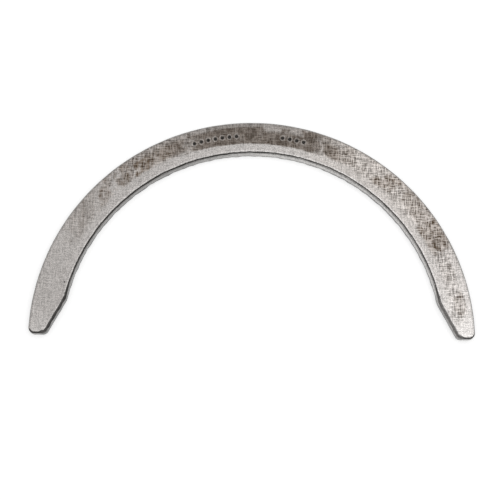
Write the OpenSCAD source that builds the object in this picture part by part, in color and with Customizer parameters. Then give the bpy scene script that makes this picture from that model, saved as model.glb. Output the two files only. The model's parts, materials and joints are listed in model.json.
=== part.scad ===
// Half-ring thrust washer, blanked from flat strip and lying on its bearing face.
// The origin is the centre of the arcs, on the bearing face. +Y runs through the middle of the ring.
// +Z points out of the back face.

/* [Ring] */
// Bore diameter
bore_d = 88.6; // [60:0.2:120]
// Width of the ring, from the bore to the outer edge
ring_w = 7.7; // [6:0.1:14]
// Thickness
thick = 2.3; // [1.4:0.05:5]

/* [Ends] */
// Distance of each end face from the line that splits the full ring
end_gap = 0.4; // [0:0.05:2]
// Width that the relief cut takes off the end face, beside the bore
relief_w = 3.6; // [1.5:0.1:5]
// Height of the relief cut above the end face
relief_h = 8.3; // [4:0.1:12]
// Corner radius in plan
corner_r = 1.4; // [0.9:0.05:1.6]

/* [Edges] */
// Radius of the rolled edge round the back face
roll_r = 0.55; // [0.2:0.05:0.8]
// Edge break round the bearing face
edge_break = 0.15; // [0.05:0.05:0.4]

/* [Oil grooves] */
// Angle of each groove from the middle of the ring
groove_angle = 33; // [15:1:60]
// Groove width at the bearing face
groove_w = 3; // [1.5:0.1:6]
// Groove depth
groove_depth = 0.3; // [0.2:0.05:0.6]

/* [Hidden] */
// Segments of a full circle, for the arcs of the ring and for small radii
ring_fn = 288;
small_fn = 60;
bore_r = bore_d / 2;
outer_r = bore_r + ring_w;
// Depth of an edge's section: past the middle of the ring, where the sections of both edges overlap
rim_depth = ring_w * 2 / 3;
shoulder = thick - roll_r;
// Tools run this far past the surfaces that they cut.
past = 2;
// Corner arcs stand this far outside the edges that they join, so they cross them at a slight angle.
bulge = 0.03;
corner_depth = corner_r - bulge;
// The relief cut runs from its foot on the end line to its head on the bore.
cut_foot = [bore_r + relief_w, end_gap];
cut_head = [sqrt(bore_r ^ 2 - (end_gap + relief_h) ^ 2), end_gap + relief_h];
cut_angle = atan2(cut_foot.x - cut_head.x, relief_h);
// Distance from the origin to the cut's line, and from the nearest point of that line to the foot
cut_distance = cut_foot * [cos(cut_angle), sin(cut_angle)];
cut_run = cut_foot * [sin(cut_angle), -cos(cut_angle)];
// Centres of the corner arcs of an end, equally deep under both edges
corner_y = end_gap + corner_depth;
outer_centre = [sqrt((outer_r - corner_depth) ^ 2 - corner_y ^ 2), corner_y];
foot_centre = [cut_foot.x + corner_depth * (1 - sin(cut_angle)) / cos(cut_angle), corner_y];
outer_start = atan2(outer_centre.y, outer_centre.x);
// A round groove floor of this radius has the stated width and depth.
groove_r = (groove_w ^ 2 / 4 + groove_depth ^ 2) / (2 * groove_depth);

// Section of the plate beside an edge: wall at x = 0, rolled above and broken below
module rim_section(depth) {
    polygon([
        [edge_break, 0],
        [depth, 0],
        [depth, shoulder],
        [0, shoulder],
        [0, edge_break]
    ]);
    translate([roll_r, shoulder]) {
        square([depth - roll_r, roll_r]);
        intersection() {
            circle(r = roll_r, $fn = small_fn);
            translate([-thick, 0]) square(thick);
        }
    }
}

// Section of a tool that leaves the same rim: the space outside the wall, past both faces
module tool_section(reach) {
    polygon([
        [-reach, -past],
        [edge_break, -past],
        [edge_break, 0],
        [0, edge_break],
        [0, shoulder],
        [-reach, shoulder]
    ]);
    translate([roll_r, shoulder])
        difference() {
            translate([-roll_r - reach, 0]) square([roll_r + reach, roll_r + past]);
            circle(r = roll_r, $fn = small_fn);
        }
}

// Full ring with both of its edges finished
module ring() {
    rotate_extrude($fn = ring_fn) {
        translate([bore_r, 0]) rim_section(rim_depth);
        translate([outer_r, 0]) mirror([1, 0]) rim_section(rim_depth);
    }
}

// Plate that ends in the line of both end faces
module end_plate() {
    translate([-outer_r - past, end_gap, 0])
        rotate([90, 0, 90]) linear_extrude(2 * (outer_r + past)) rim_section(outer_r);
}

// Tool of a relief cut, from inside the bore to past the end face
module relief_tool() {
    rotate([0, 0, cut_angle])
        translate([cut_distance, 0, 0])
            rotate([90, 0, 0]) linear_extrude(cut_run + past) tool_section(ring_w);
}

// Tool that rounds the corner about centre, between two directions
module corner_tool(centre, start, sweep) {
    translate([centre.x, centre.y, 0])
        rotate([0, 0, start])
            rotate_extrude(angle = sweep, $fn = small_fn)
                translate([corner_r, 0]) mirror([1, 0]) tool_section(past);
}

// Round-bottomed groove across the bearing face
module oil_groove(angle) {
    rotate([0, 0, angle])
        translate([0, 0, groove_depth - groove_r])
            rotate([-90, 0, 0]) cylinder(r = groove_r, h = outer_r + past, $fn = ring_fn);
}

module thrust_washer() {
    color("#8f8d8a")
        difference() {
            intersection() {
                ring();
                end_plate();
            }
            for (side = [0, 1])
                mirror([side, 0, 0]) {
                    relief_tool();
                    corner_tool(outer_centre, -90, 90 + outer_start);
                    corner_tool(foot_centre, 180 + cut_angle, 90 - cut_angle);
                    oil_groove(groove_angle);
                }
        }
}

thrust_washer();
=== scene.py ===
import json
from types import SimpleNamespace

import bpy
import numpy as np
from mathutils import Matrix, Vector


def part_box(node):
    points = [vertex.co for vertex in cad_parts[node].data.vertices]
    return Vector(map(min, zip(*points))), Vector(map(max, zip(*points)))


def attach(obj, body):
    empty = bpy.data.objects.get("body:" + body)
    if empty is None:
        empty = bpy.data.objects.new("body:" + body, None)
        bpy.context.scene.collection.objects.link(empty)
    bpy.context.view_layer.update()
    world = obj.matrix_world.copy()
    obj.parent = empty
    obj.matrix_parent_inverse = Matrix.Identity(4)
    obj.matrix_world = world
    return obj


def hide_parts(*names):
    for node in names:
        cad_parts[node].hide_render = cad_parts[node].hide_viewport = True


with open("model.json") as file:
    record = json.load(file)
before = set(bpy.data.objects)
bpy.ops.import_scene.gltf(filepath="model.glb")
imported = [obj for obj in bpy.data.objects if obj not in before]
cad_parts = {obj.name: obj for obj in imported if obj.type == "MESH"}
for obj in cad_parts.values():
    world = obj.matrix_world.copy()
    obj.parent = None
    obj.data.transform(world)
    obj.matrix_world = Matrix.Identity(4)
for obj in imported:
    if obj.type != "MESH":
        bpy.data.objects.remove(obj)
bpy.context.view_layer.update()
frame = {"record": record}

# Thrust washer: half a flat ring, blanked from steel strip and tumbled, which rolls its upper edge all round.
# The ends are relieved beside the bore, and the underside has two shallow oil grooves.
# The back is ground, stained brown by old oil, and punched with two rows of round prick marks.

MM = 0.001
lowest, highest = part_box("thrust_washer")
mounts = {mount["name"]: mount for mount in frame["record"]["mounts"]}
outer_r = mounts["outer_edge"]["dims"]["r_mm"] * MM
bore_r = mounts["half_bore"]["dims"]["r_mm"] * MM
thick = highest.z
end_y = lowest.y
# Relief cut beside the bore at each end, its width at the end face and its height, and the corners' radius
relief_w = 3.6 * MM
relief_h = 8.3 * MM
corner_r = 1.4 * MM
# Radius of the rolled edge on the outer arc, its corner, the end, the foot corner, the relief cut,
# the head of the cut and the bore
roll_sizes = np.array((0.35, 0.35, 0.4, 0.85, 0.75, 0.7, 0.66)) * MM
# Columns over which one radius passes into the next, and how far the roll waves and grows to the right
roll_spread = 9
roll_wave = 0.06
roll_lean = 0.13
# Sines along the ring: waves to a full turn, and shift in radians
roll_sines = ((41, 1), (67, 0))
flare_sines = ((47, 0), (79, 2), (131, 1))
edge_break = 0.15 * MM
# How far the foot of the sheared wall stands out into the bore, how much that waves, and the height
# above the ends over which it grows
flare = 0.1 * MM
flare_wave = 0.3
flare_fade = 14 * MM
# Width of the rim that carries the edge, and of the narrow strips that hold its creases
rim_w = 1.1 * MM
crease = 0.05 * MM
# Oil grooves: their angles from the middle of the ring, and their section
groove_angles = np.array((-33, 33))
groove_w = 3 * MM
groove_depth = 0.3 * MM
# Prick marks: their angles from the middle of the ring, and the form of each
prick_angles = np.concatenate((np.linspace(-17, -5, 7), np.linspace(8, 14, 4)))
prick_r = 48.7 * MM
prick_radius = 0.45 * MM
prick_depth = 0.16 * MM
burr_height = 0.025 * MM
burr_width = 0.14 * MM
# Columns of the mesh along half the ring and round an end, close together up to the angle that the grooves
# reach, and rows of the wall and the rolled edge
close_reach = 36
close_columns = 240
arm_columns = 90
head_columns = 4
cut_columns = 30
tip_columns = head_columns + cut_columns
corner_columns = 16
end_columns = 22
wall_rows = 4
roll_rows = 8
# Columns of a face on each side of its middle, and its rows from the outer to the inner edge
half_columns = close_columns + arm_columns + tip_columns + corner_columns // 2
face_columns = 2 * half_columns
face_rows = corner_columns + end_columns


def steps(first, last, count):
    """Even steps from first towards last, which is left out."""
    return np.linspace(first, last, count, endpoint=False)


def arc(centre, radius, angles, inward):
    """Points of a circle at angles in degrees, and the spokes there times inward, to lead into the metal."""
    turn = np.radians(angles)
    spokes = np.stack((np.cos(turn), np.sin(turn)), axis=-1)
    return centre + radius * spokes, inward * spokes


def straight(first, last, inward, count):
    """Points in even steps from first towards last, and the one direction that leads into the metal."""
    share = steps(0, 1, count)[:, None]
    return first + share * (last - first), np.tile(inward, (count, 1))


def ring_wave(points, sines):
    """Wave along the ring: a sum of sines of the angle at each point."""
    angle = np.arctan2(points[:, 0], points[:, 1])
    return sum(np.sin(waves * angle + shift) for waves, shift in sines)


def uneven(roll, points):
    """Roll radii that pass smoothly from one stretch to the next, as a mean of neighbours round the loop,
    times a share that grows from left to right and waves along the ring."""
    shifts = range(-roll_spread, roll_spread + 1)
    even = np.mean([np.roll(roll, shift) for shift in shifts], axis=0)
    lean = roll_lean * points[:, 0] / outer_r
    return even * (1 + lean + roll_wave * ring_wave(points, roll_sines))


def plan_line():
    """Closed outline, clockwise from the middle of the outer edge: points, ways into the metal, roll radii.
    One half runs along the outer arc, round the end, up the relief cut and back along the bore,
    each corner an arc that touches both of its neighbours, and the other half mirrors it."""
    middle = np.zeros(2)
    foot = np.array((bore_r + relief_w, end_y))
    head_y = end_y + relief_h
    head_x = np.sqrt(bore_r ** 2 - head_y ** 2)
    cut_turn = np.arctan2(foot[0] - head_x, relief_h)
    cut_angle = np.degrees(cut_turn)
    cut_normal = np.array((np.cos(cut_turn), np.sin(cut_turn)))
    cut_rise = np.array((-np.sin(cut_turn), np.cos(cut_turn)))
    corner_y = end_y + corner_r
    outer_centre = np.array((np.sqrt((outer_r - corner_r) ** 2 - corner_y ** 2), corner_y))
    foot_centre = np.array((foot[0] + corner_r * (1 - cut_normal[1]) / cut_normal[0], corner_y))
    head_distance = foot @ cut_normal + corner_r
    head_run = np.sqrt((bore_r + corner_r) ** 2 - head_distance ** 2)
    head_centre = head_distance * cut_normal - head_run * cut_rise
    cut_start = foot_centre - corner_r * cut_normal
    cut_end = head_centre - corner_r * cut_normal
    outer_start = np.degrees(np.arctan2(outer_centre[1], outer_centre[0]))
    bore_start = np.degrees(np.arctan2(head_centre[1], head_centre[0]))
    fan_end = 90 - bore_start
    fan = np.concatenate((steps(0, close_reach, close_columns), steps(close_reach, fan_end, arm_columns)))
    outer_fan = np.concatenate((fan, steps(fan_end, 90 - outer_start, tip_columns)))
    stretches = (
        arc(middle, outer_r, 90 - outer_fan, -1),
        arc(outer_centre, corner_r, steps(outer_start, -90, corner_columns), -1),
        straight(np.array((outer_centre[0], end_y)), np.array((foot_centre[0], end_y)), (0, 1), end_columns),
        arc(foot_centre, corner_r, steps(-90, cut_angle - 180, corner_columns), -1),
        straight(cut_start, cut_end, cut_normal, cut_columns),
        arc(head_centre, corner_r, steps(cut_angle - 180, bore_start - 180, head_columns), -1),
        arc(middle, bore_r, 90 - np.append(fan_end, fan[::-1]), 1),
    )
    points, inward = (np.concatenate(parts) for parts in zip(*stretches))
    roll = np.repeat(roll_sizes, [len(part) for part, _ in stretches])
    mirror = np.array((-1, 1))
    points = np.concatenate((points, points[-2:0:-1] * mirror))
    inward = np.concatenate((inward, inward[-2:0:-1] * mirror))
    roll = np.concatenate((roll, roll[-2:0:-1]))
    return points, inward, uneven(roll, points)


def foot_flare(points):
    """How far the foot of the wall stands out at each column: the flare times one plus a wave along the ring,
    on the bore side alone, and less by a straight ramp near the ends."""
    waved = flare * (1 + flare_wave * ring_wave(points, flare_sines))
    in_bore = np.hypot(points[:, 0], points[:, 1]) < (bore_r + outer_r) / 2
    return waved * in_bore * np.clip((points[:, 1] - end_y) / flare_fade, 0, 1)


def edge_profile(roll, foot):
    """Section of the edge at each column, from the bearing face to the back face: insets and heights of
    a short flat, the edge break, the wall that leans out to its foot, a quarter circle for the rolled edge
    and a short flat again."""
    level = np.ones_like(roll)
    turn = np.radians(np.linspace(0, 90, roll_rows + 1))[:, None]
    shoulder = thick - roll
    inset = np.concatenate((
        np.outer((rim_w, edge_break + crease, edge_break, 0), level) - np.outer((0, 1, 1, 1), foot),
        -np.outer(np.linspace(1, 0, wall_rows), foot),
        roll * (1 - np.cos(turn)),
        (roll + crease, rim_w * level),
    ))
    height = np.concatenate((
        np.outer((0, 0, 0, edge_break), level),
        np.linspace((edge_break + crease) * level, shoulder - crease, wall_rows),
        shoulder + roll * np.sin(turn),
        np.outer((thick, thick), level),
    ))
    return inset, height


def groove_rise(x, y):
    """Rise of the bearing face: across each groove, the arc of a circle with the stated width and depth."""
    floor_r = (groove_w ** 2 / 4 + groove_depth ** 2) / (2 * groove_depth)
    turn = np.radians(groove_angles)
    across = x[..., None] * np.cos(turn) - y[..., None] * np.sin(turn)
    circle = np.sqrt(np.maximum(floor_r ** 2 - across ** 2, 0)) - (floor_r - groove_depth)
    return np.maximum(circle, 0).max(axis=-1)


def prick_rise(x, y):
    """Rise of the back face: a round hollow at each prick mark, a parabola of the distance from its middle,
    and a low burr that the punch raised round it, a bell curve of the same distance."""
    turn = np.radians(prick_angles)
    to_marks = np.hypot(x[..., None] - prick_r * np.sin(turn), y[..., None] - prick_r * np.cos(turn))
    away = to_marks.min(axis=-1)
    hollow = np.minimum((away / prick_radius) ** 2 - 1, 0)
    burr = np.exp(-((away - prick_radius - burr_width) / burr_width) ** 2)
    return prick_depth * hollow + burr_height * burr


def rim_sides(rim):
    """The four sides of a face, cut from the closed line round it: outer, inner, left end and right end."""
    half = len(rim) // 2
    columns = np.arange(-half_columns, half_columns + 1)
    places = np.arange(half_columns, half - half_columns + 1)
    return rim[columns], rim[half - columns], rim[-places], rim[places]


def face_patch(rim):
    """Grid inside a closed rim line: straight rungs from its outer to its inner side, and near each end
    the way that the end departs from a rung, fading out towards the arms."""
    outer, inner, left, right = rim_sides(rim)
    share = np.linspace(0, 1, face_rows + 1)[:, None, None]
    grid = (1 - share) * outer + share * inner
    fade = np.clip(1 - np.arange(face_columns + 1) / tip_columns, 0, 1)[None, :, None] ** 2
    for end, weight in ((left, fade), (right, fade[:, ::-1])):
        grid = grid + weight * (end[:, None] - (1 - share) * end[0] - share * end[-1])
    return grid[1:-1, 1:-1]


def patch_numbers(rim, first):
    """Vertex numbers of such a grid: those of the rim line round it, and new ones from first inside."""
    numbers = np.empty((face_rows + 1, face_columns + 1), int)
    numbers[0], numbers[-1], numbers[:, 0], numbers[:, -1] = rim_sides(rim)
    inside = (face_rows - 1, face_columns - 1)
    numbers[1:-1, 1:-1] = first + np.arange(inside[0] * inside[1]).reshape(inside)
    return numbers


def cells(numbers):
    """The four corners of each cell of a grid of vertex numbers, from its rows round to its columns."""
    corners = (numbers[:-1, :-1], numbers[1:, :-1], numbers[1:, 1:], numbers[:-1, 1:])
    return np.stack(corners, axis=-1).reshape(-1, 4)


def washer_mesh():
    """The edge profile carried round the plan, closed by a patch above, which holds the prick marks, and one
    below, which holds the grooves. The grooves' rise fades out over the lower half of the walls.
    Every point keeps its inset from the outline, in millimetres, as the attribute from_edge."""
    plan, inward, roll = plan_line()
    inset, height = edge_profile(roll, foot_flare(plan))
    rim_xy = plan + inset[..., None] * inward
    lift = np.clip(1 - 2 * height / thick, 0, 1)
    rim_z = height + lift * groove_rise(rim_xy[..., 0], rim_xy[..., 1])
    edge = np.concatenate((rim_xy, rim_z[..., None]), axis=-1)
    patch = face_patch(rim_xy[0])
    x, y = patch[..., 0], patch[..., 1]
    under = np.stack((x, y, groove_rise(x, y)), axis=-1)
    back = np.stack((x, y, thick + prick_rise(x, y)), axis=-1)
    points = np.concatenate([part.reshape(-1, 3) for part in (edge, under, back)])
    numbers = np.arange(rim_z.size).reshape(rim_z.shape)
    under_numbers = patch_numbers(numbers[0], rim_z.size)
    back_numbers = patch_numbers(numbers[-1], rim_z.size + x.size)
    loop = np.append(numbers, numbers[:, :1], axis=1)
    faces = np.concatenate((cells(loop), cells(under_numbers[:, ::-1]), cells(back_numbers)))
    mesh = bpy.data.meshes.new("washer")
    mesh.from_pydata(points, (), faces)
    mesh.shade_smooth()
    from_edge = np.full(len(points), rim_w / MM)
    from_edge[:inset.size] = inset.ravel() / MM
    mesh.attributes.new("from_edge", "FLOAT", "POINT").data.foreach_set("value", from_edge)
    return mesh


def add_node(tree, kind, inputs, **settings):
    """A new node with its settings. An input given a socket is linked, and one given a value is set."""
    made = tree.nodes.new(kind)
    for name, value in settings.items():
        setattr(made, name, value)
    for key, value in inputs.items():
        if isinstance(value, bpy.types.NodeSocket):
            tree.links.new(value, made.inputs[key])
        else:
            made.inputs[key].default_value = value
    return made


def calc(tree, operation, *values):
    """Result of one operation of a Math node on sockets or numbers."""
    return add_node(tree, "ShaderNodeMath", dict(enumerate(values)), operation=operation).outputs[0]


def product(tree, first, *others):
    """Product of sockets or numbers."""
    for other in others:
        first = calc(tree, "MULTIPLY", first, other)
    return first


def rest(tree, share):
    """What a share leaves of one."""
    return calc(tree, "SUBTRACT", 1.0, share)


def distance(tree, first, second):
    """Distance between two places."""
    made = add_node(tree, "ShaderNodeVectorMath", {0: first, 1: second}, operation="DISTANCE")
    return made.outputs["Value"]


def ease(tree, value, start, end, low=0.0, high=1.0):
    """Smooth step from low to high as a value goes from start to end."""
    inputs = {"Value": value, "From Min": start, "From Max": end, "To Min": low, "To Max": high}
    made = add_node(tree, "ShaderNodeMapRange", inputs, interpolation_type="SMOOTHSTEP")
    return made.outputs["Result"]


def between(tree, share, none, whole):
    """Value that goes smoothly from none to whole as a share goes from 0 to 1."""
    return ease(tree, share, 0.0, 1.0, none, whole)


def blend(tree, share, first, second, way="MIX"):
    """Two colours laid over each other, by default the second over the first by a share.
    The node's sockets for colours are known by their places alone."""
    inputs = {0: share, 6: first, 7: second}
    return add_node(tree, "ShaderNodeMix", inputs, data_type="RGBA", blend_type=way).outputs[2]


def noise(tree, place, scale, detail):
    """Cloudy noise about a half at a place, in waves of about 1 / scale."""
    inputs = {"Vector": place, "Scale": scale, "Detail": detail}
    return add_node(tree, "ShaderNodeTexNoise", inputs).outputs[0]


def scratches(tree, place, stretch):
    """Noise drawn out into lines: the place is stretched by the factors in stretch first."""
    drawn = add_node(tree, "ShaderNodeVectorMath", {0: place, 1: stretch}, operation="MULTIPLY").outputs[0]
    return noise(tree, drawn, scale=1.0, detail=1.0)


# In the values of the steel, angles are degrees from the middle of the ring and lengths are millimetres.
# A smooth step is its start and end, and then the values there where they aren't 0 and 1.
face_height = thick / MM
upper_half = (1.0, 1.6)
left_to_right = (-40.0, 40.0)


def surface_spot(tree):
    """Where a point of the surface lies: its place, its angle and radius about the centre of the ring,
    the sizes of angle and x without their signs, its depth under the back face, its inset from the outline,
    and shares for the upper half of the edge and for how far right it is."""
    coordinates = add_node(tree, "ShaderNodeTexCoord", {}).outputs["Object"]
    scaled = add_node(tree, "ShaderNodeVectorMath", {0: coordinates, "Scale": 1 / MM}, operation="SCALE")
    place = scaled.outputs[0]
    x, y, z = add_node(tree, "ShaderNodeSeparateXYZ", {0: place}).outputs
    angle = calc(tree, "DEGREES", calc(tree, "ARCTAN2", x, y))
    squares = calc(tree, "ADD", calc(tree, "MULTIPLY", x, x), calc(tree, "MULTIPLY", y, y))
    return SimpleNamespace(
        place=place,
        y=y,
        z=z,
        across=calc(tree, "ABSOLUTE", x),
        angle=angle,
        turn=calc(tree, "ABSOLUTE", angle),
        radius=calc(tree, "SQRT", squares),
        depth=calc(tree, "SUBTRACT", face_height, z),
        from_edge=add_node(tree, "ShaderNodeAttribute", {}, attribute_name="from_edge").outputs["Fac"],
        upper=ease(tree, z, *upper_half),
        right=ease(tree, angle, *left_to_right),
    )


# Noise of the surface: its mean, waves to a millimetre and octaves, the waves along x, y and z for lines,
# and the step from bare metal to scratch
noise_mean = 0.5
cloud_scale = 0.7
cloud_detail = 4.0
grain_scale = 4.0
grain_detail = 2.0
upright_stretch = (4.8, 0.55, 1.0)
level_stretch = (0.55, 4.8, 1.0)
streak_stretch = (1.5, 0.1, 1.0)
scratch_step = (0.42, 0.6)


def grinding_marks(tree, place):
    """What grinding left on the steel: slow clouds, fine grain, long streaks, and scratches that cross
    each other, as the sum of upright and level lines and as a share, the greater of both."""
    cloud = noise(tree, place, cloud_scale, cloud_detail)
    upright = scratches(tree, place, upright_stretch)
    level = scratches(tree, place, level_stretch)
    crossing = calc(tree, "MAXIMUM", ease(tree, upright, *scratch_step), ease(tree, level, *scratch_step))
    return SimpleNamespace(
        cloud=cloud,
        wander=calc(tree, "SUBTRACT", cloud, noise_mean),
        grain=noise(tree, place, grain_scale, grain_detail),
        streaks=scratches(tree, place, streak_stretch),
        lines=calc(tree, "ADD", upright, level),
        scratched=crossing,
    )


# Stains of the back face and spots worn bright in them: middle, half width and softness of the ends,
# slant in degrees for each millimetre past stain_r, inner radius, softness of the border, outer radius
# and strength
stain_r = 49.0
stains = (
    (-74.0, 11.0, 3.0, 0.0, 40.0, 1.0, 60.0, 0.1),
    (-54.5, 6.6, 6.0, 1.2, 46.9, 1.2, 60.0, 0.55),
    (-45.8, 1.8, 2.0, 1.0, 47.0, 0.8, 60.0, 0.95),
    (-38.6, 2.2, 2.0, 0.4, 47.2, 0.7, 60.0, 1.2),
    (-32.0, 3.4, 1.8, 0.45, 47.2, 0.5, 60.0, 1.35),
    (-32.2, 1.5, 1.2, 0.0, 48.3, 0.5, 50.6, 1.8),
    (-26.5, 8.0, 2.5, 0.0, 47.3, 0.8, 60.0, 1.07),
    (0.0, 19.0, 2.0, 0.0, 46.75, 0.25, 60.0, 1.03),
    (22.5, 3.2, 2.0, -0.5, 47.0, 0.5, 60.0, 1.1),
    (27.5, 3.0, 2.0, -0.5, 47.3, 0.7, 60.0, 0.82),
    (34.0, 5.0, 3.0, 0.0, 47.2, 0.7, 60.0, 0.5),
    (39.8, 2.9, 1.6, 1.0, 47.0, 0.6, 60.0, 1.15),
    (51.0, 6.0, 2.5, -0.6, 47.5, 0.7, 60.0, 0.9),
    (59.8, 4.8, 2.2, 0.0, 46.8, 0.7, 60.0, 1.22),
    (70.0, 4.0, 2.5, 0.0, 47.0, 0.7, 50.2, 0.62),
    (80.2, 3.2, 1.8, 0.0, 47.7, 0.6, 50.6, 0.82),
)
bright_spots = (
    (-33.6, 1.6, 1.2, 0.6, 50.3, 0.5, 60.0, 0.5),
    (-25.5, 6.5, 2.0, 0.0, 50.6, 0.6, 60.0, 0.42),
    (-14.5, 2.6, 1.2, 0.0, 50.7, 0.4, 60.0, 0.55),
    (0.0, 12.0, 2.0, 0.0, 50.95, 0.3, 60.0, 0.42),
    (4.6, 2.0, 1.2, 0.0, 49.9, 0.6, 60.0, 0.5),
    (11.0, 2.6, 1.0, 0.0, 49.9, 0.4, 60.0, 0.45),
    (22.8, 2.8, 1.2, 0.0, 50.2, 0.5, 60.0, 0.6),
)
# How far clouds push the borders of the stains along the ring and across it
angle_wander = 9.0
radius_wander = 0.7
# Tone of the stains by clouds, and by streaks, which count on the left arm alone
cloud_tone = (0.3, 0.7, 0.87, 1.07)
streak_tone = (0.35, 0.65, 0.65, 1.1)
streak_reach = (-22.0, -30.0, 0.0, 0.7)
# Share of oil that scratches rub away: little in the middle, more on the arms, most on the right one
middle_rub = 0.15
arm_rub = (-10.0, 10.0, 0.42, 0.6)
rub_reach = (15.0, 30.0)
# Film of oil on the right arm, thin beside the bore and, towards the end, on the outer rim
film_oil = 0.4
film_start = (18.0, 32.0)
film_end = (87.0, 82.0)
film_inner = (45.8, 47.6, 0.25, 1.0)
clean_rim_start = (64.0, 74.0)
clean_rim_inner = (49.6, 50.6, 0.0, 0.65)
# Oil fades out over the rolled edge
oil_edge = (0.05, 0.5)


def stain_group():
    """Group that gives the mask of one stain: a stretch of the ring between two radii,
    the product of its borders, each of them a smooth step over its softness to both sides.
    Slant moves the stretch along the ring by that many degrees for each millimetre outwards."""
    group = bpy.data.node_groups.new("stain", "ShaderNodeTree")
    names = ("Angle", "Radius", "Middle", "Half Width", "Softness", "Slant", "Inner", "Border", "Outer")
    for name in names:
        group.interface.new_socket(name, in_out="INPUT", socket_type="NodeSocketFloat")
    group.interface.new_socket("Mask", in_out="OUTPUT", socket_type="NodeSocketFloat")
    given = add_node(group, "NodeGroupInput", {}).outputs
    lean = calc(group, "MULTIPLY", calc(group, "SUBTRACT", given["Radius"], stain_r), given["Slant"])
    middle = calc(group, "ADD", given["Middle"], lean)
    away = calc(group, "ABSOLUTE", calc(group, "SUBTRACT", given["Angle"], middle))
    borders = (
        (given["Half Width"], away, given["Softness"]),
        (given["Radius"], given["Inner"], given["Border"]),
        (given["Outer"], given["Radius"], given["Border"]),
    )
    sides = []
    for far, near, softness in borders:
        past = calc(group, "DIVIDE", calc(group, "SUBTRACT", far, near), softness)
        sides.append(ease(group, past, -1.0, 1.0))
    add_node(group, "NodeGroupOutput", {"Mask": product(group, *sides)})
    return group


def stain_share(tree, group, places, angle, radius):
    """Greatest of the masks of several stains, each times its strength."""
    share = 0.0
    for *numbers, strength in places:
        inputs = dict(enumerate((angle, radius, *numbers)))
        mask = add_node(tree, "ShaderNodeGroup", inputs, node_tree=group).outputs["Mask"]
        share = calc(tree, "MAXIMUM", share, calc(tree, "MULTIPLY", mask, strength))
    return share


def oil_stains(tree, spot, marks):
    """Shares of old oil as it lay and as scratches left it. It lay as the stains, less the spots worn bright,
    times the tones of clouds and streaks, or as the film on the right arm where that is more,
    on the back face alone. Scratches take their share of that away."""
    group = stain_group()
    angle = calc(tree, "MULTIPLY_ADD", marks.wander, angle_wander, spot.angle)
    radius = calc(tree, "MULTIPLY_ADD", marks.wander, radius_wander, spot.radius)
    stained = stain_share(tree, group, stains, angle, radius)
    worn = stain_share(tree, group, bright_spots, angle, radius)
    cloudy = ease(tree, marks.cloud, *cloud_tone)
    streaky = ease(tree, marks.streaks, *streak_tone)
    streaky = between(tree, ease(tree, spot.angle, *streak_reach), 1.0, streaky)
    stained = product(tree, stained, rest(tree, worn), cloudy, streaky)
    film = product(tree, ease(tree, spot.angle, *film_start), ease(tree, spot.angle, *film_end))
    clean_rim = ease(tree, spot.angle, *clean_rim_start)
    clean_rim = product(tree, clean_rim, ease(tree, spot.radius, *clean_rim_inner))
    film = product(tree, film, ease(tree, spot.radius, *film_inner), rest(tree, clean_rim), film_oil)
    lain = calc(tree, "MAXIMUM", stained, film)
    lain = product(tree, lain, ease(tree, spot.from_edge, *oil_edge), spot.upper)
    rub = ease(tree, spot.turn, *rub_reach, middle_rub, ease(tree, spot.angle, *arm_rub))
    return lain, product(tree, lain, rest(tree, product(tree, rub, marks.scratched)))


# Where the inner side of the edge starts: by the radius along the bore, and by y and the radius at the ends
bore_side = (47.5, 46.5)
tip_side = (8.6, 7.8)
tip_outer = (51.5, 50.9)
end_side = (2.0, 1.1)
# The relief cuts by y and radius, the end faces by y and x, and the corners at the foot of the cuts
cut_side = (14.0, 7.0)
cut_outer = (50.0, 48.5)
end_rise = (2.4, 1.6)
end_inner = (48.2, 50.0)
foot_corner = (48.03, 0.6, 0.0)
foot_reach = (1.5, 0.6)


def edge_stretches(tree, spot):
    """Shares of the stretches of the edge at a point: the inner side as a whole, and in it the relief cut,
    the end face and the corner at the foot of the cut."""
    tip = product(tree, ease(tree, spot.y, *tip_side), ease(tree, spot.radius, *tip_outer))
    tip = calc(tree, "MAXIMUM", tip, ease(tree, spot.y, *end_side))
    folded = add_node(tree, "ShaderNodeCombineXYZ", {0: spot.across, 1: spot.y}).outputs[0]
    return SimpleNamespace(
        inside=calc(tree, "MAXIMUM", ease(tree, spot.radius, *bore_side), tip),
        cut=product(tree, ease(tree, spot.y, *cut_side), ease(tree, spot.radius, *cut_outer)),
        end=product(tree, ease(tree, spot.y, *end_rise), ease(tree, spot.across, *end_inner)),
        foot=ease(tree, distance(tree, folded, foot_corner), *foot_reach),
    )


# Dark line on the rolled edge of the bore, the cuts, the ends and the corners at their foot, painted shade
# for the dark reflection of the roll, on the left and on the right: its start and end from the outline, and
# its strength
bore_line = ((0.22, 0.53, 1.0), (0.37, 0.63, 0.95))
cut_line = ((0.08, 0.72, 0.95), (0.05, 0.8, 0.7))
end_line = ((0.0, 0.42, 0.95), (-0.05, 0.32, 0.95))
foot_line = ((0.18, 0.8, 0.9), (0.1, 0.75, 0.75))
line_softness = 0.035
line_border = (-line_softness, line_softness)
# How far grain and clouds push the line to and fro, and the step that keeps it off the wall
line_grain = 0.14
line_wander = 0.3
line_clear = (0.0, 0.03)
# Thin grey line on the outer edge, painted shade of the outer roll
outer_line_start = (0.12, 0.3)
outer_line_end = (0.6, 0.4, 0.0, 0.2)


def line_value(tree, which, spot, stretches):
    """A value of the dark line at a point, between left and right: the bore's, and over it by their shares
    the relief cut's, the end's and the foot corner's."""
    bore, cut, end, foot = (between(tree, spot.right, left[which], right[which])
                            for left, right in (bore_line, cut_line, end_line, foot_line))
    value = between(tree, stretches.cut, bore, cut)
    value = between(tree, stretches.end, value, end)
    return between(tree, stretches.foot, value, foot)


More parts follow.
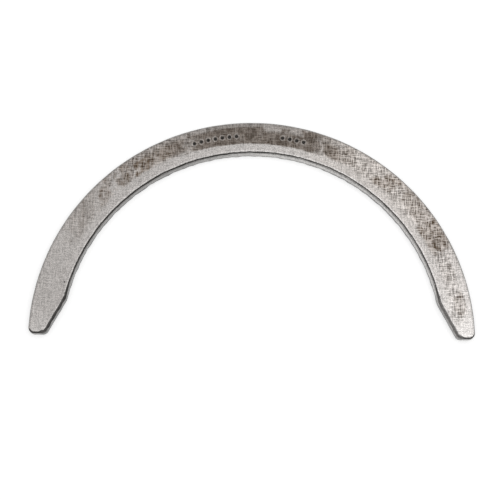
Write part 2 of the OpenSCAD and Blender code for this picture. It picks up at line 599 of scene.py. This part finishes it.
def edge_line(tree, spot, marks, stretches):
    """Share of the lines on the rolled edge, painted shade for its dark reflection, and where the dark one
    starts.
    It lies between its start and its end with a ragged border, on the inner side. The thin one lies on the
    outer side."""
    start, end, strength = (line_value(tree, which, spot, stretches) for which in range(3))
    ragged = calc(tree, "SUBTRACT", marks.grain, noise_mean)
    ragged = calc(tree, "MULTIPLY_ADD", ragged, line_grain, spot.from_edge)
    ragged = calc(tree, "MULTIPLY_ADD", marks.wander, line_wander, ragged)
    started = ease(tree, calc(tree, "SUBTRACT", ragged, start), *line_border)
    unended = ease(tree, calc(tree, "SUBTRACT", end, ragged), *line_border)
    clear = ease(tree, spot.from_edge, *line_clear)
    # Painted shade: the dark line on the inner rolled edge
    dark = product(tree, started, unended, strength, stretches.inside, spot.upper, clear)
    # Painted shade: the thin line on the outer rolled edge
    thin = ease(tree, spot.from_edge, *outer_line_start)
    thin = product(tree, thin, ease(tree, spot.from_edge, *outer_line_end))
    thin = product(tree, thin, calc(tree, "SUBTRACT", spot.upper, stretches.inside))
    return calc(tree, "MAXIMUM", dark, thin), start


# Sheared wall: how far its grey reaches onto the outer edge, the border at its top, and the sheer part
# that always belongs to it
outer_wall_top = 0.18
wall_border = (0.08, -0.08)
sheer_border = (0.06, 0.01)
# Share of near-black on the wall: along the bore by angle, in the cuts on the left and right, at the ends
# and outside, painted shade towards the top of the end faces, and painted contact shadow at the foot, above
# all on the arms
bore_dull = (-25.0, 10.0, 0.5, 0.0)
cut_dull = (0.7, 0.55)
end_dull = 0.4
outer_dull = 0.28
end_shade_rise = (1.0, 2.1)
end_shade_reach = (1.5, 0.5, 0.0, 0.97)
foot_shadow_strength = (10.0, 35.0, 0.45, 1.0)
foot_shadow_height = (1.0, 0.4)


def wall_shares(tree, spot, stretches, line_start):
    """Share of the wall, which ends where the dark line starts, and its share of near-black: that of its
    stretch of the edge, or of the painted shade at the top of the end faces or the painted shadow at its foot
    where they are more."""
    top = between(tree, stretches.inside, outer_wall_top, line_start)
    wall = ease(tree, calc(tree, "SUBTRACT", spot.from_edge, top), *wall_border)
    wall = calc(tree, "MAXIMUM", wall, ease(tree, spot.from_edge, *sheer_border))
    in_cut = between(tree, spot.right, *cut_dull)
    wall_dark_and_shade = between(tree, stretches.cut, ease(tree, spot.angle, *bore_dull), in_cut)
    wall_dark_and_shade = between(tree, stretches.end, wall_dark_and_shade, end_dull)
    # Painted shade towards the top of the end faces
    end_shade = product(tree, ease(tree, spot.z, *end_shade_rise), ease(tree, spot.y, *end_shade_reach))
    wall_dark_and_shade = calc(tree, "MAXIMUM", wall_dark_and_shade, end_shade)
    wall_dark_and_shade = between(tree, stretches.inside, outer_dull, wall_dark_and_shade)
    # Painted contact shadow at the foot of the wall
    foot_shadow = ease(tree, spot.z, *foot_shadow_height, 0.0, ease(tree, spot.turn, *foot_shadow_strength))
    return wall, calc(tree, "MAXIMUM", wall_dark_and_shade, foot_shadow)


# Colours of the metal and of what lies on it
bare_steel = (0.595, 0.566, 0.546, 1)
bright_steel = (0.77, 0.738, 0.715, 1)
filmed_steel = (0.64, 0.603, 0.575, 1)
painted_highlight_steel = (0.86, 0.83, 0.81, 1)
wall_steel = (0.5, 0.487, 0.474, 1)
old_oil = (0.152, 0.121, 0.097, 1)
smeared_oil = (0.166, 0.12, 0.083, 1)
# Near-black of scale in the oil and of a speck, and painted shade in the lines on the edge, on the wall and
# in the prick marks
scale_and_painted_shade = (0.045, 0.043, 0.041, 1)
# Where the filmed steel starts and ends, and where both tips are rubbed bright
filmed_start = (8.0, 24.0)
filmed_end = (68.0, 45.0)
right_rubbed = (58.0, 92.0)
left_rubbed = (-82.0, -90.0, 0.0, 0.5)
# Scale in the oil by clouds, and where the oil is smeared brown
oil_scale = (0.45, 0.7, 0.0, 0.3)
smear_start = (18.0, 28.0)
# Dark floor of a prick mark, dirt and painted shade in the hollow, by depth, away from the rim, its burr, and
# one dark speck on the left arm
pit_depth = (0.01, 0.08)
pit_clear = (1.0, 1.09)
burr_depth = (-0.008, -0.02, 0.0, 0.4)
speck_place = (-43.93, 12.6, face_height)
speck_reach = (0.25, 0.1)
# Painted highlight on the crest above the dark line: where it starts, where it is full, its ends on the left
# and right, and its share
crest_start = (0.55, 0.7)
crest_full = 0.75
crest_ends = (0.92, 1.08)
crest_share = 0.6


def steel_colour(tree, spot, marks, stretches, oil_share):
    """Colour of the metal without its grain, laid on in turn: bare steel, its film, the bright tips, oil,
    burrs, dark marks with painted shade in the prick marks, a painted highlight on the crest of the rolled
    edge, the wall with its near-black, painted shade and shadow among it, and the painted dark lines on the
    edge."""
    filmed = product(tree, ease(tree, spot.angle, *filmed_start), ease(tree, spot.angle, *filmed_end))
    rubbed = ease(tree, spot.angle, *right_rubbed)
    rubbed = calc(tree, "MAXIMUM", rubbed, ease(tree, spot.angle, *left_rubbed))
    colour = blend(tree, rubbed, blend(tree, filmed, bare_steel, filmed_steel), bright_steel)
    oil = blend(tree, ease(tree, marks.cloud, *oil_scale), old_oil, scale_and_painted_shade)
    oil = blend(tree, ease(tree, spot.turn, *smear_start), oil, smeared_oil)
    colour = blend(tree, oil_share, colour, oil)
    colour = blend(tree, ease(tree, spot.depth, *burr_depth), colour, bare_steel)
    # Dark floor of the prick marks: dirt and painted shade in the hollows
    pit = product(tree, ease(tree, spot.depth, *pit_depth), ease(tree, spot.from_edge, *pit_clear))
    pit = product(tree, pit, spot.upper)
    speck = ease(tree, distance(tree, spot.place, speck_place), *speck_reach)
    colour = blend(tree, calc(tree, "MAXIMUM", pit, speck), colour, scale_and_painted_shade)
    # Painted highlight along the crest of the rolled edge
    crest_end = between(tree, spot.right, *crest_ends)
    crest = ease(tree, spot.from_edge, crest_end, crest_full, 0.0, crest_share)
    crest = product(tree, ease(tree, spot.from_edge, *crest_start), crest, stretches.inside, spot.upper)
    colour = blend(tree, crest, colour, painted_highlight_steel)
    line_share, line_start = edge_line(tree, spot, marks, stretches)
    wall, wall_dark_and_shade = wall_shares(tree, spot, stretches, line_start)
    # The wall darkens by that share, painted shade and shadow among it
    colour = blend(tree, wall, colour, blend(tree, wall_dark_and_shade, wall_steel, scale_and_painted_shade))
    # The lines on the edge are painted shade
    return blend(tree, line_share, colour, scale_and_painted_shade)


# Tone of the grain, with this share of the scratches in it
grain_lines = 0.35
grain_tone = (0.49, 1.21, 0.54, 1.44)
# Crisp hatching where oil lies: by how much oil there is, weaker on the left arm and in the middle,
# and its tone
hatch_oil = (0.12, 0.45)
hatch_left = (-52.0, -36.0, 0.3, 1.0)
hatch_middle = (15.0, 25.0, 0.4, 1.0)
hatch_tone = (0.75, 1.25, -0.27, 0.27)
# Roughness of clean steel, and what clouds and oil add to it
steel_rough = 0.26
cloud_rough = 0.12
oil_rough = 0.12
bump_height = 0.01 * MM
bump_strength = 0.5


def grain_shade(tree, spot, marks, oil_lain):
    """Grey that the colour is multiplied by: a smooth step of the grain plus a share of the lines,
    and where oil lies a smooth step of the lines alone, added to it."""
    fine = calc(tree, "MULTIPLY_ADD", marks.lines, grain_lines, marks.grain)
    hatched = product(tree, ease(tree, oil_lain, *hatch_oil), ease(tree, spot.angle, *hatch_left))
    hatched = product(tree, hatched, ease(tree, spot.turn, *hatch_middle))
    hatching = ease(tree, marks.lines, *hatch_tone)
    shade = calc(tree, "MULTIPLY_ADD", hatched, hatching, ease(tree, fine, *grain_tone))
    return add_node(tree, "ShaderNodeCombineXYZ", {0: shade, 1: shade, 2: shade}).outputs[0]


def stained_steel():
    """Ground steel with brown stains: a metal whose colour is multiplied by its grain, rougher under clouds
    and oil, with scratches and grain as a fine bump."""
    material = bpy.data.materials.new("stained_steel")
    material.use_nodes = True
    tree = material.node_tree
    shader = tree.nodes["Principled BSDF"]
    shader.inputs["Metallic"].default_value = 1.0
    spot = surface_spot(tree)
    marks = grinding_marks(tree, spot.place)
    stretches = edge_stretches(tree, spot)
    oil_lain, oil_left = oil_stains(tree, spot, marks)
    colour = steel_colour(tree, spot, marks, stretches, oil_left)
    grained = blend(tree, 1.0, colour, grain_shade(tree, spot, marks, oil_lain), "MULTIPLY")
    tree.links.new(grained, shader.inputs["Base Color"])
    rough = calc(tree, "MULTIPLY_ADD", marks.cloud, cloud_rough, steel_rough)
    rough = calc(tree, "MULTIPLY_ADD", oil_left, oil_rough, rough)
    tree.links.new(rough, shader.inputs["Roughness"])
    relief = calc(tree, "ADD", marks.scratched, marks.grain)
    inputs = {"Height": relief, "Distance": bump_height, "Strength": bump_strength}
    tree.links.new(add_node(tree, "ShaderNodeBump", inputs).outputs[0], shader.inputs["Normal"])
    return material


washer = bpy.data.objects.new("washer", washer_mesh())
bpy.context.scene.collection.objects.link(washer)
washer.data.materials.append(stained_steel())
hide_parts("thrust_washer")
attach(washer, "root")

# Floor: a plain white table top, far wider than the view.
# The camera and the metal see it lifted to white, and it keeps the washer's shadow.

white = (1, 1, 1, 1)
floor_half = 2.0
floor_gap = 0.01 * MM
floor_colour = (0.82, 0.82, 0.82, 1)
floor_lift = 0.52


def table_top():
    """Material of the table top: matt white, with a glow that camera, glossy and transmission rays see."""
    material = bpy.data.materials.new("table_top")
    material.use_nodes = True
    tree = material.node_tree
    shader = tree.nodes["Principled BSDF"]
    shader.inputs["Base Color"].default_value = floor_colour
    shader.inputs["Roughness"].default_value = 1.0
    shader.inputs["Specular IOR Level"].default_value = 0.0
    shader.inputs["Emission Color"].default_value = white
    path = add_node(tree, "ShaderNodeLightPath", {}).outputs
    seen = calc(tree, "MAXIMUM", path["Is Camera Ray"], path["Is Glossy Ray"])
    seen = calc(tree, "MAXIMUM", seen, path["Is Transmission Ray"])
    tree.links.new(calc(tree, "MULTIPLY", seen, floor_lift), shader.inputs["Emission Strength"])
    return material


corners = np.array(((-1, -1), (1, -1), (1, 1), (-1, 1))) * floor_half
floor_mesh = bpy.data.meshes.new("floor")
floor_mesh.from_pydata(np.column_stack((corners, np.full(len(corners), -floor_gap))), (), ((0, 1, 2, 3),))
floor = bpy.data.objects.new("floor", floor_mesh)
bpy.context.scene.collection.objects.link(floor)
floor_mesh.materials.append(table_top())

# Light: a room that is bright overhead and dim at the horizon, with one wide soft box above,
# a little to the right, which gives the back face its even sheen.

sky_low = 0.42
sky_high = 0.72
# Heights of a direction, from 0 at the horizon to 1 overhead, between which the room brightens
sky_rise = (0.3, 0.85)
box_side = 0.7
box_place = (0.43, 0.18, 0.8)
box_radiance = 0.6

world = bpy.data.worlds.new("studio")
bpy.context.scene.world = world
world.use_nodes = True
sky = world.node_tree
direction = add_node(sky, "ShaderNodeTexCoord", {}).outputs["Generated"]
rise = add_node(sky, "ShaderNodeSeparateXYZ", {0: direction}).outputs[2]
sky.links.new(ease(sky, rise, *sky_rise, sky_low, sky_high), sky.nodes["Background"].inputs["Strength"])
sky.nodes["Background"].inputs["Color"].default_value = white

box_light = bpy.data.lights.new("soft_box", "AREA")
box_light.size = box_side
box_light.energy = np.pi * box_side ** 2 * box_radiance
soft_box = bpy.data.objects.new("soft_box", box_light)
soft_box.location = box_place
bpy.context.scene.collection.objects.link(soft_box)

# Camera: above the washer on the open side of the ring, as the photograph was taken,
# with a long lens, and rolled a little about its line of sight.

camera_elevation = np.radians(77.764)
camera_roll = np.radians(0.763)
camera_distance = 389.5 * MM
camera_aim = np.array((-0.65, 21.33, 0)) * MM
camera_lens = 118.65

back = np.array((0, -np.cos(camera_elevation), np.sin(camera_elevation)))
right = np.array((1, 0, 0))
up = np.cross(back, right)
turned_right = np.cos(camera_roll) * right + np.sin(camera_roll) * up
turned_up = np.cos(camera_roll) * up - np.sin(camera_roll) * right
stand = np.eye(4)
stand[:3] = np.column_stack((turned_right, turned_up, back, camera_aim + camera_distance * back))
camera_data = bpy.data.cameras.new("camera")
camera_data.lens = camera_lens
camera = bpy.data.objects.new("camera", camera_data)
camera.matrix_world = Matrix(stand.tolist())
bpy.context.scene.collection.objects.link(camera)
bpy.context.scene.camera = camera
bpy.context.scene.view_settings.view_transform = "Standard"
